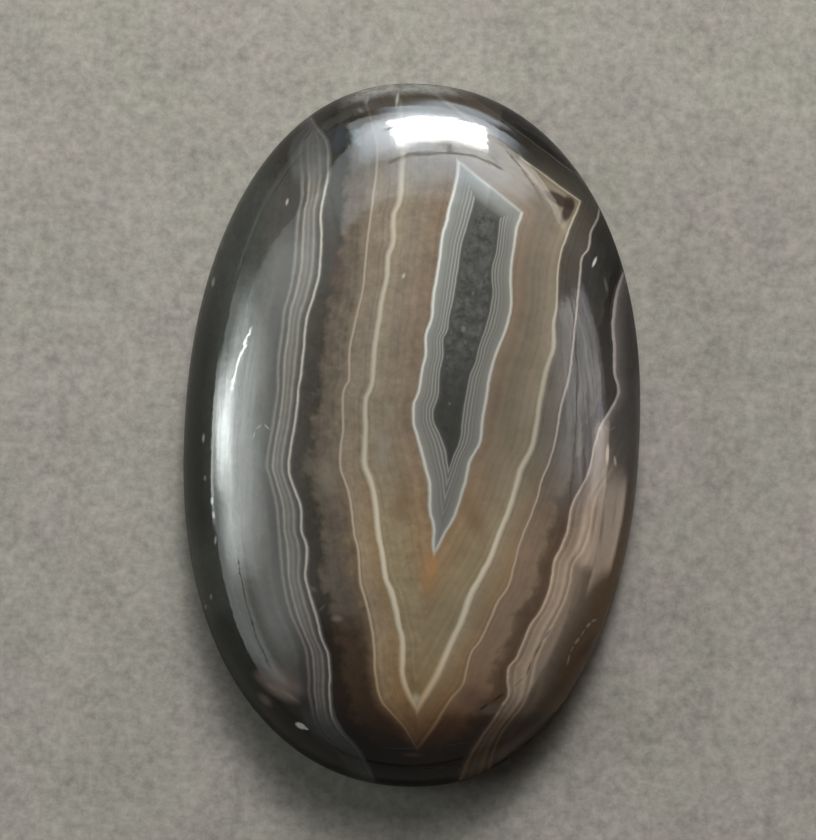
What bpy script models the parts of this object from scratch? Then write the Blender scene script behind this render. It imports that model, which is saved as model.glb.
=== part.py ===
"""Oval banded-agate cabochon: one polished stone with a high dome, a thin girdle and a bevelled flat back.

Metres, +Z up. The origin is the centre of the flat back, which the stone rests on.
+Y runs along the stone's length and +X across its width.
"""

from math import atan2, copysign, cos, hypot, pi, sin

import bmesh
import bpy

MM = 0.001

# Driving dimensions
LENGTH = 42.0 * MM
WIDTH = 27.2 * MM
HEIGHT = 8.9 * MM
GIRDLE_TOP = 0.95 * MM
BEVEL_HEIGHT = 0.45 * MM
BEVEL_INSET = 0.75 * MM

# How full the oval's shoulders are: 2 is a plain ellipse
OVAL_FULLNESS = 2.185
# Two opposite shoulders were ground a little fuller than the other two
SHOULDER_SKEW = 0.0052
# How full the dome's section is: 2 is a quarter of an ellipse
DOME_FULLNESS = 2.0

SIDES = 96
DOME_RINGS = 15
FLAT_RINGS = (0.34, 0.68)


def power(value, exponent):
    return copysign(abs(value) ** exponent, value)


def oval(angle):
    """The stone's outline seen from above, at this angle round it."""
    ease = 2.0 / OVAL_FULLNESS
    grow = 1.0 + SHOULDER_SKEW * sin(4.0 * angle)
    x = 0.5 * WIDTH * power(cos(angle), ease) * grow
    y = 0.5 * LENGTH * power(sin(angle), ease) * grow
    return x, y


def section():
    """(reach, inset, height) from the middle of the back, out round the girdle and up to the top of the dome.

    Reach is a share of the oval, and inset is a distance in from it.
    """
    rings = [(0.0, 0.0, 0.0)]
    rings += [(reach, 0.0, 0.0) for reach in FLAT_RINGS]
    rings += [
        (1.0, BEVEL_INSET, 0.0),
        (1.0, 0.16 * BEVEL_INSET, 0.74 * BEVEL_HEIGHT),
        (1.0, 0.0, BEVEL_HEIGHT + 0.06 * MM),
    ]
    dome = HEIGHT - GIRDLE_TOP
    ease = 2.0 / DOME_FULLNESS
    for step in range(DOME_RINGS + 1):
        turn = 0.5 * pi * step / DOME_RINGS
        reach = 0.0 if step == DOME_RINGS else cos(turn) ** ease
        rings.append((reach, 0.0, GIRDLE_TOP + dome * sin(turn) ** ease))
    return rings


def stone_mesh(name):
    """The half section, spun round Z and drawn out from the circle to the oval."""
    rings = section()
    shape = bmesh.new()
    ring_of = shape.verts.layers.int.new("ring")
    row = []
    for index, (reach, inset, height) in enumerate(rings):
        row.append(shape.verts.new((reach * 0.5 * LENGTH - inset, 0.0, height)))
        row[-1][ring_of] = index
    edges = [shape.edges.new(pair) for pair in zip(row, row[1:])]
    bmesh.ops.spin(
        shape, geom=row + edges, cent=(0, 0, 0), axis=(0, 0, 1), angle=2.0 * pi,
        steps=SIDES, use_merge=True,
    )
    bmesh.ops.remove_doubles(shape, verts=shape.verts, dist=0.001 * MM)
    for vert in shape.verts:
        reach, inset, height = rings[vert[ring_of]]
        if reach > 0.0:
            x, y = oval(atan2(vert.co.y, vert.co.x))
            share = reach * (1.0 - inset / hypot(x, y))
            vert.co = (x * share, y * share, height)
    bmesh.ops.recalc_face_normals(shape, faces=shape.faces)
    mesh = bpy.data.meshes.new(name)
    shape.to_mesh(mesh)
    shape.free()
    mesh.shade_smooth()
    mesh.set_sharp_from_angle(angle=0.6)
    return mesh


def agate():
    """Dark smoky agate with a high polish."""
    material = bpy.data.materials.new("agate")
    material.use_nodes = True
    surface = material.node_tree.nodes["Principled BSDF"]
    surface.inputs["Base Color"].default_value = (0.115, 0.086, 0.068, 1.0)
    surface.inputs["Roughness"].default_value = 0.06
    surface.inputs["Metallic"].default_value = 0.0
    surface.inputs["IOR"].default_value = 1.54
    material.diffuse_color = (0.115, 0.086, 0.068, 1.0)
    return material


def main():
    for old in list(bpy.data.objects):
        bpy.data.objects.remove(old, do_unlink=True)
    group = bpy.data.collections.new("sulemani_agate")
    bpy.context.scene.collection.children.link(group)
    stone = bpy.data.objects.new("agate_cabochon", stone_mesh("agate_cabochon"))
    stone.data.materials.append(agate())
    group.objects.link(stone)


main()
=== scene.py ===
"""A polished oval agate cabochon: the stone with its banding, and the plain studio that it lies in.

The stone lies on its flat back, with its length along Y and its dome up. The tables below give the
banding in millimetres, as it is seen from straight above.
"""

from math import atan2, copysign, cos, hypot, pi, radians, sin

import bmesh
import bpy
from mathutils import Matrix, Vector


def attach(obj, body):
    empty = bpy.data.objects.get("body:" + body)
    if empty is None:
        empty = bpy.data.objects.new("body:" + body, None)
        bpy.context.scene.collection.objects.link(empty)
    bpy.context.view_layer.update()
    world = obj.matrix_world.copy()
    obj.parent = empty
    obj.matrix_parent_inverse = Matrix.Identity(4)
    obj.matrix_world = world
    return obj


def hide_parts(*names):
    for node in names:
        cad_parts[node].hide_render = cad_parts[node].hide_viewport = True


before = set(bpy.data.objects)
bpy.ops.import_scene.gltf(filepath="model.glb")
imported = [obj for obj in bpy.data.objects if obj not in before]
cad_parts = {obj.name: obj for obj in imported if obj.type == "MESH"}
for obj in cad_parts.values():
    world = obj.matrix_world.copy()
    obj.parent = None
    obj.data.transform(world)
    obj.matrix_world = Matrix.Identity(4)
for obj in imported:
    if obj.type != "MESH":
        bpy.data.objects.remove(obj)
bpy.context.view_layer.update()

MM = 0.001

# The stone's size, as in the CAD part
LENGTH = 42.0 * MM
WIDTH = 27.2 * MM
HEIGHT = 8.9 * MM
GIRDLE_TOP = 0.95 * MM
BEVEL_HEIGHT = 0.45 * MM
BEVEL_INSET = 0.75 * MM
OVAL_FULLNESS = 2.185
SHOULDER_SKEW = 0.0052

# How finely the stone is meshed
SIDES = 256
DOME_RINGS = 84
FLAT_RINGS = (0.2, 0.4, 0.6, 0.8)
BEVEL = ((1.1, 0.0), (1.0, 0.0), (0.9, 0.04), (0.52, 0.38), (0.22, 0.68), (0.07, 0.9), (0.0, 1.2))
WELD = 0.0005 * MM

# The stone lies turned this far clockwise in the photograph, so the camera and the lights are turned instead
PICTURE_TURN = 0.0378

# The camera: lens and sensor in mm, place in m
FOCAL_LENGTH = 184.5
SENSOR_WIDTH = 36.0
CAMERA_PLACE = (-0.000267, 0.0009, 0.25095)

# White-edged lines, read from above: (place along the length, place across the width), in mm.
# They nest round the core from outside to inside: five, four, three, two, one, core.
LEFT_LINES = {
    "five": [
        (-21.9, -1.5), (-20.26, -2.2), (-18.83, -3.24), (-18.03, -4.45), (-17.08, -5.07), (-16.05, -5.33),
        (-15.27, -5.47), (-14.55, -5.49), (-13.83, -5.57), (-12.88, -5.71), (-12.18, -5.97), (-11.49, -6.29),
        (-10.56, -6.73), (-9.69, -6.99), (-8.7, -7.2), (-7.54, -7.36), (-6.66, -7.48), (-5.79, -7.59),
        (-4.34, -7.76), (-3.47, -7.97), (-2.78, -8.18), (-2.09, -8.41), (-1.45, -8.4), (-0.57, -8.26), (0.6, -8.1),
        (1.66, -7.99), (2.65, -7.94), (3.99, -7.97), (4.99, -7.89), (5.86, -7.81), (6.92, -7.73), (7.8, -7.53),
        (8.81, -7.34), (9.99, -7.22), (11.17, -7.21), (12.66, -7.16), (13.85, -6.98), (14.76, -7.02), (15.67, -7.16),
        (16.59, -7.27), (17.34, -7.11), (17.84, -6.69), (18.71, -7.04), (20.72, -7.72),
    ],
    "four": [
        (-21.9, -1.1), (-20.4, -1.65), (-19.15, -2.25), (-18.25, -2.9), (-17.35, -3.7), (-16.4, -4.15),
        (-15.1, -4.25), (-13.0, -4.4), (-12.1, -4.8), (-10.7, -5.2), (-9.2, -5.7), (-8.35, -5.9), (-7.1, -5.85),
        (-6.5, -5.9), (-5.8, -6.2), (-4.45, -6.3), (-3.4, -6.7), (-2.1, -7.1), (-1.7, -7.1), (-0.5, -6.95),
        (1.25, -6.75), (2.4, -6.7), (3.1, -6.6), (3.8, -6.55), (5.45, -6.45), (6.5, -6.4), (7.8, -6.05),
        (9.3, -5.75), (10.9, -5.7), (12.85, -5.8), (14.05, -5.65), (15.1, -5.5), (16.95, -5.65), (17.65, -6.1),
        (18.35, -6.65), (20.7, -7.5),
    ],
    "three": [
        (-21.7, 3.1), (-18.35, 1.0), (-17.1, 0.2), (-16.25, -0.6), (-15.3, -1.3), (-13.85, -1.6), (-12.25, -1.75),
        (-10.8, -2.0), (-9.75, -2.3), (-8.55, -2.65), (-6.9, -2.85), (-5.6, -3.15), (-4.0, -3.4), (-3.05, -3.65),
        (-2.05, -4.05), (-1.0, -4.1), (0.3, -4.0), (1.6, -4.1), (2.6, -4.0), (3.2, -3.75), (4.7, -3.8), (6.0, -3.6),
        (7.15, -3.4), (8.45, -3.15), (9.8, -3.1), (11.2, -3.0), (13.05, -2.85), (14.85, -2.7), (16.35, -2.65),
        (18.2, -3.0), (19.6, -3.45), (20.85, -3.85),
    ],
    "two": [
        (-21.7, 3.7), (-19.1, 2.4), (-15.95, 0.9), (-15.3, 0.5), (-14.5, 0.15), (-13.55, -0.05), (-12.2, -0.05),
        (-11.15, -0.3), (-9.1, -0.8), (-8.2, -1.25), (-7.4, -1.35), (-5.55, -1.75), (-3.9, -1.95), (-2.65, -2.3),
        (-1.5, -2.7), (0.25, -2.7), (1.95, -2.75), (2.6, -2.5), (3.15, -2.4), (4.9, -2.35), (6.15, -2.2),
        (7.65, -2.05), (9.0, -1.8), (10.4, -1.75), (11.25, -1.5), (12.65, -1.55), (13.55, -1.25), (14.3, -1.15),
        (16.1, -1.15), (17.9, -1.25), (19.8, -1.55), (20.95, -2.05),
    ],
    "one": [
        (-22.5, 7.4), (-15.4, 3.6), (-10.0, 2.6), (-6.7, 1.55), (-5.05, 1.45), (-4.4, 1.25), (-2.8, 1.15),
        (-1.8, 0.9), (-0.25, 0.4), (0.75, 0.1), (1.85, 0.05), (2.3, 0.25), (3.7, 0.45), (5.0, 0.65), (5.75, 0.6),
        (6.15, 0.7), (7.2, 0.95), (8.1, 0.95), (8.65, 1.05), (10.4, 1.25), (11.55, 1.35), (12.65, 1.6), (13.85, 1.8),
        (15.15, 2.1), (16.1, 2.15), (18.7, 2.2),
    ],
    "core": [
        (-22.5, 9.0), (-15.4, 5.2), (-9.4, 3.75), (-1.8, 2.2), (-0.85, 2.0), (0.1, 1.65), (1.25, 1.2), (2.4, 1.45),
        (3.75, 1.5), (4.8, 1.65), (5.75, 1.6), (6.15, 1.85), (6.8, 1.9), (7.95, 2.1), (9.45, 2.3), (10.9, 2.45),
        (12.1, 2.7), (13.3, 3.0), (14.0, 3.15), (16.9, 3.6),
    ],
}
RIGHT_LINES = {
    "five": [
        (-21.03, 5.23), (-18.1, 5.66), (-16.66, 6.41), (-15.55, 7.19), (-14.7, 7.5), (-12.89, 7.83), (-11.75, 8.25),
        (-10.49, 8.85), (-9.3, 9.36), (-8.41, 9.59), (-7.28, 9.72), (-6.45, 10.28), (-5.15, 10.71), (-3.38, 10.93),
        (-1.59, 11.84), (0.2, 12.58), (1.12, 13.6), (2.66, 14.4), (6.0, 14.7), (22.5, 14.9),
    ],
    "four": [
        (-21.7, 3.4), (-20.05, 3.75), (-18.75, 4.15), (-17.65, 4.75), (-16.65, 5.35), (-15.7, 5.85), (-14.85, 6.25),
        (-14.1, 6.1), (-13.35, 6.15), (-12.9, 6.55), (-12.0, 6.9), (-10.85, 7.3), (-10.05, 7.85), (-9.15, 8.25),
        (-8.15, 8.45), (-6.95, 8.6), (-6.2, 8.95), (-5.15, 9.3), (-3.8, 9.45), (-2.7, 9.95), (-2.05, 10.3),
        (-1.0, 10.55), (0.15, 10.8), (1.15, 11.1), (1.8, 11.5), (2.6, 11.9), (3.0, 12.05), (4.4, 11.7), (5.05, 11.7),
        (6.95, 11.55), (8.6, 11.7), (9.65, 12.0), (10.85, 12.5), (14.0, 13.3), (22.5, 14.2),
    ],
    "three": [
        (-21.9, -1.7), (-18.35, 1.0), (-17.25, 1.75), (-16.3, 2.3), (-15.3, 2.85), (-14.35, 3.55), (-13.45, 3.7),
        (-12.55, 3.9), (-11.75, 4.45), (-10.6, 4.95), (-9.5, 5.35), (-8.5, 5.95), (-7.4, 6.2), (-6.0, 6.5),
        (-4.65, 7.0), (-3.45, 7.4), (-2.3, 7.65), (-0.95, 8.15), (0.4, 8.4), (1.95, 8.6), (3.65, 9.0), (5.15, 9.15),
        (7.0, 9.3), (8.45, 9.4), (9.8, 9.5), (10.75, 9.55), (11.35, 9.95), (12.4, 10.1), (13.25, 10.5),
        (15.65, 10.8),
    ],
    "two": [
        (-21.9, -2.3), (-15.95, 0.9), (-13.9, 2.0), (-13.0, 2.35), (-11.65, 2.85), (-10.45, 3.35), (-9.15, 3.7),
        (-8.05, 4.25), (-6.8, 4.85), (-5.3, 5.3), (-4.15, 5.75), (-3.0, 6.05), (-1.75, 6.35), (-0.3, 7.0),
        (0.9, 7.2), (2.35, 7.35), (3.55, 7.55), (4.6, 7.8), (5.6, 8.05), (6.75, 8.0), (8.05, 8.15), (9.7, 8.15),
        (11.0, 8.3), (11.95, 8.6), (12.9, 8.9), (14.2, 9.4), (17.45, 9.75),
    ],
    "one": [
        (-22.1, -7.05), (-15.7, -4.2), (-6.7, 1.55), (-5.55, 2.1), (-4.8, 2.5), (-3.6, 2.9), (-2.35, 3.2),
        (-1.3, 3.4), (-0.1, 3.95), (1.05, 4.0), (2.25, 4.2), (3.4, 4.3), (4.55, 4.55), (5.75, 4.95), (6.8, 5.3),
        (8.1, 5.45), (9.55, 5.35), (10.75, 5.45), (12.25, 5.6), (13.3, 5.9), (16.45, 6.2),
    ],
    "core": [
        (-22.5, -9.0), (-15.7, -5.8), (-6.7, 0.2), (-1.8, 2.2), (-0.85, 2.5), (-0.15, 2.75), (1.0, 2.85),
        (2.35, 3.0), (3.65, 3.2), (4.45, 3.5), (5.3, 3.65), (6.45, 4.0), (7.6, 4.25), (8.45, 4.35), (9.5, 4.25),
        (11.1, 4.5), (12.9, 4.65), (15.8, 4.95),
    ],
}
# The slanting upper edges of the nest: (place across the width, place along the length)
UPPER_LINES = {
    "five": [(-15.0, 34.5), (15.0, 15.5)],
    "four": [(-15.0, 33.5), (15.0, 14.0)],
    "three": [(-15.0, 32.5), (-0.65, 22.7), (2.1, 20.7), (7.25, 17.1), (9.4, 15.7), (15.0, 12.2)],
    "two": [(-15.0, 31.2), (-0.65, 21.2), (2.1, 19.2), (7.25, 15.6), (9.4, 14.2), (15.0, 10.7)],
    "one": [(-15.0, 28.9), (2.15, 16.1), (5.9, 13.3), (15.0, 6.5)],
    "core": [(-15.0, 27.4), (3.15, 14.0), (4.65, 12.9), (15.0, 5.2)],
}
LINE_AT = {"five": 1, "four": 2, "three": 3, "two": 4, "one": 5, "core": 6}

# The usual width of each zone in mm: outside line five, five to four, four to three, three to two, two to one,
# one to the core, and into the core
ZONE_WIDTHS = (4.0, 1.35, 2.95, 1.45, 3.0, 1.2, 3.0)
INNERMOST = 7.0

# What the line curves cover, and how far the lines run on at both ends, in mm
CURVE_X = 15.0
CURVE_Y = 35.0
LINES_END = 22.5

# How far the bands move over for each mm below the dome, and how far they wander in all, in mm
LEAN_ACROSS, LEAN_ALONG = 0.16, 0.09
WANDER = 0.14

# Colours of the polished stone
INK = (0.022, 0.019, 0.016)
SOOT = (0.066, 0.057, 0.055)
MOSS_SMOKE = (0.074, 0.078, 0.068)
DARK_SMOKE = (0.06, 0.052, 0.04)
SMOKE = (0.068, 0.06, 0.049)
UMBER = (0.148, 0.121, 0.094)
PALE_UMBER = (0.155, 0.123, 0.096)
FAWN = (0.21, 0.172, 0.13)
CREAM_FAWN = (0.26, 0.212, 0.16)
PALE_CREAM = (0.298, 0.246, 0.178)
ROSE_FAWN = (0.262, 0.202, 0.148)
ROSE_TAN = (0.245, 0.18, 0.128)
BITTER = (0.03, 0.02, 0.014)
CHESTNUT = (0.075, 0.048, 0.028)
DEEP_RUST = (0.205, 0.113, 0.05)
HONEY = (0.395, 0.27, 0.15)
HONEY_CREAM = (0.43, 0.33, 0.22)
OLIVE_CREAM = (0.4, 0.31, 0.19)
DARK_ORANGE = (0.4, 0.265, 0.145)
DUN = (0.1, 0.09, 0.072)
GREY_DUN = (0.185, 0.165, 0.135)
ASH = (0.118, 0.11, 0.098)
CLAY = (0.205, 0.145, 0.095)
RED_CLAY = (0.175, 0.108, 0.068)
PALE_CLAY = (0.35, 0.245, 0.168)
MILK = (0.24, 0.238, 0.21)
CORE_GREY = (0.058, 0.058, 0.051)
LIT_CORE = (0.13, 0.133, 0.122)
FAINT_LILAC = (0.165, 0.162, 0.164)
# the pale top edge, a painted reflection
PALE_EDGE_REFLECTION = (0.26, 0.26, 0.245)
PLUM = (0.048, 0.029, 0.025)
STREAK_BROWN = (0.03, 0.015, 0.008)
THREE_LEFT, THREE_RIGHT, THREE_LOW = (0.46, 0.38, 0.31), (0.52, 0.45, 0.4), (0.66, 0.52, 0.37)
TWO_HIGH, TWO_LOW = (0.56, 0.5, 0.4), (0.9, 0.8, 0.62)

# Tints of the two dark places, the bay and the painted shade at the lower end, of the fine banding and of the lines
# round the core
BAY_SHADE, LOWER_END_SHADE = (0.5, 0.4, 0.32), (0.5, 0.42, 0.37)
LEFT_TINT_HIGH, LEFT_TINT_LOW = (1.07, 1.0, 0.86), (1.12, 1.0, 0.93)
RIGHT_TINT_HIGH, RIGHT_TINT_LOW = (1.09, 0.96, 0.93), (1.34, 0.99, 0.72)
CORE_TINT_LOW, CORE_TINT_HIGH, CORE_TINT_RIGHT = (1.1, 1.07, 0.97), (1.25, 1.27, 1.19), (1.0, 0.98, 0.88)

# The two greys of the floor
CARD_GREY, CARD_WARM_GREY = (0.421, 0.4, 0.35), (0.431, 0.397, 0.36)

# The tones of the zones, from outside to inside: for each line (mm inside it, colour)
LEFT_UPPER = {
    "five": [(-2.2, MOSS_SMOKE), (-1.0, SMOKE), (-0.2, DARK_SMOKE)],
    "four": [(0.1, SMOKE), (1.05, SMOKE), (1.55, UMBER)],
    "three": [(-1.0, PALE_UMBER), (-0.2, FAWN), (0.15, CREAM_FAWN)],
    "two": [(-0.3, CREAM_FAWN), (0.3, PALE_CREAM), (1.0, CREAM_FAWN)],
    "one": [(-1.0, ROSE_FAWN), (-0.3, ROSE_TAN)],
}
LEFT_LOWER = {
    "five": [(-3.6, MOSS_SMOKE), (-2.2, SMOKE), (-0.9, SMOKE), (-0.2, UMBER)],
    "four": [(0.1, DARK_SMOKE), (0.7, DARK_SMOKE), (1.2, UMBER)],
    "three": [(-1.0, PALE_UMBER), (-0.2, CLAY), (0.2, HONEY_CREAM)],
    "two": [(-0.4, HONEY), (0.3, OLIVE_CREAM), (1.3, OLIVE_CREAM)],
    "one": [(-1.0, HONEY), (-0.2, DARK_ORANGE)],
}
RIGHT_UPPER = {
    "five": [(-3.6, INK), (-1.0, SOOT)],
    "four": [(0.6, SOOT), (0.8, SMOKE), (1.15, ASH), (1.5, DUN)],
    "three": [(-0.8, ASH), (-0.2, ASH), (0.2, GREY_DUN)],
    "two": [(-0.3, GREY_DUN), (0.3, PALE_CREAM), (0.9, CREAM_FAWN)],
    "one": [(-1.4, FAWN), (-0.3, ROSE_TAN)],
}
RIGHT_LOWER = {
    "five": [(-3.6, BITTER), (-1.0, CLAY)],
    "four": [(-0.5, CLAY), (0.1, RED_CLAY), (0.5, RED_CLAY), (1.0, CLAY), (1.5, PALE_CLAY)],
    "three": [(-0.2, PALE_CLAY), (0.3, HONEY)],
    "two": [(-0.3, HONEY_CREAM), (0.3, OLIVE_CREAM), (0.9, OLIVE_CREAM)],
    "one": [(-1.0, HONEY), (-0.2, DARK_ORANGE)],
}
# All four end the same way, in the core
IN_CORE = {"one": [(0.2, MILK)], "core": [(0.0, CORE_GREY)]}

# The fine banding between lines five and four, and its brightness: (place in the nest, brightness)
FINE_LEFT = [
    (0.8, 0.055), (0.95, 0.055), (0.97, 0.075), (0.985, 0.12), (1.0, 0.185), (1.045, 0.19), (1.08, 0.12),
    (1.12, 0.085), (1.19, 0.1), (1.23, 0.165), (1.28, 0.285), (1.33, 0.215), (1.38, 0.16), (1.43, 0.18),
    (1.49, 0.205), (1.55, 0.15), (1.61, 0.165), (1.69, 0.26), (1.75, 0.17), (1.82, 0.105), (1.88, 0.09),
    (1.92, 0.13), (1.96, 0.35), (1.99, 0.52), (2.01, 0.44), (2.03, 0.2), (2.05, 0.085), (2.1, 0.065),
]
FINE_RIGHT_UPPER = [
    (0.0, 0.078), (1.0, 0.092), (1.55, 0.088), (1.68, 0.09), (1.76, 0.11), (1.86, 0.14), (1.93, 0.19),
    (1.965, 0.42), (2.0, 0.48), (2.012, 0.33), (2.03, 0.09), (2.06, 0.05), (2.1, 0.048),
]
FINE_RIGHT_LOWER = [
    (0.0, 0.04), (0.5, 0.11), (0.67, 0.15), (0.8, 0.2), (0.86, 0.245), (0.9, 0.225), (0.93, 0.205),
    (0.96, 0.205), (0.98, 0.27), (1.0, 0.39), (1.05, 0.45), (1.1, 0.34), (1.15, 0.235), (1.2, 0.25),
    (1.27, 0.37), (1.35, 0.45), (1.41, 0.42), (1.5, 0.34), (1.6, 0.33), (1.7, 0.4), (1.8, 0.28), (1.86, 0.31),
    (1.92, 0.44), (1.96, 0.6), (2.0, 0.62), (2.015, 0.43), (2.035, 0.22), (2.06, 0.14), (2.1, 0.11),
]
# The same from line one, past the fine lines that hug the core, and into the core
CORE_SIDES = [
    (4.9, 0.5), (4.97, 0.56), (5.0, 0.62), (5.02, 0.56), (5.05, 0.39), (5.09, 0.29), (5.16, 0.245), (5.3, 0.23),
    (5.4, 0.2), (5.46, 0.25), (5.52, 0.19), (5.57, 0.2), (5.63, 0.29), (5.68, 0.185), (5.73, 0.175), (5.79, 0.3),
    (5.84, 0.18), (5.89, 0.16), (5.94, 0.29), (5.99, 0.17), (6.01, 0.095), (6.04, 0.062), (6.1, 0.06),
]
CORE_TOP = [
    (4.9, 0.4), (4.97, 0.42), (5.0, 0.43), (5.04, 0.36), (5.1, 0.27), (5.2, 0.235), (5.5, 0.215), (5.8, 0.165),
    (5.95, 0.12), (6.03, 0.08), (6.1, 0.062),
]

# How the nest is tinted towards its lower end, with painted shade at the very end and a little painted glow above
# it: (place from y -21 to y -11 mm, colour)
LOWER_END_SHADE_AND_GLOW = [
    (0.0, (0.07, 0.04, 0.03)), (0.21, (0.2, 0.13, 0.08)), (0.39, (0.68, 0.49, 0.34)), (0.57, (1.1, 0.94, 0.77)),
    (0.8, (1.16, 1.1, 1.03)), (1.0, (1.0, 1.0, 1.0)),
]

# Colours of the mirrored light
PLAIN, COOL, COOL_BLUE, BLUE = (1.0, 1.0, 0.98), (0.93, 1.0, 0.98), (0.9, 0.98, 1.0), (0.86, 0.98, 1.1)
SKY, PALE_SKY, CREAM_WHITE = (0.8, 1.0, 1.2), (0.84, 1.0, 1.08), (1.0, 0.95, 0.88)
PINK_WHITE, WARM_CARD, ROSE = (1.0, 0.97, 0.98), (1.0, 0.8, 0.62), (1.0, 0.82, 0.66)

# The lamps: name, azimuth, elevation, size in m, power in W and colour. They all stand this far off, in m
LAMP_DISTANCE = 0.36
LAMPS = [
    ("window light", 5.0, 33.0, (0.3, 0.25), 0.87, (1.0, 0.99, 0.93)),
    ("key", 7.0, 37.0, (0.1, 0.07), 0.62, (0.97, 0.99, 1.0)),
    ("left fill", -85.0, 24.0, (0.2, 0.14), 0.3, (0.93, 1.0, 0.98)),
    ("right fill", 95.0, 22.0, (0.2, 0.14), 0.04, (1.0, 0.96, 0.89)),
]

# The floor's half size in m and its top, a hair under the stone; how finely a card is divided
FLOOR_HALF = 1.5
FLOOR_TOP = -0.00002
CARD_CELLS = 16

# The polish: how deep its slight waves are, and how it mirrors
POLISH_WAVE = 0.012 * MM
POLISH_ROUGHNESS = 0.05
AGATE_IOR = 1.54

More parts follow.
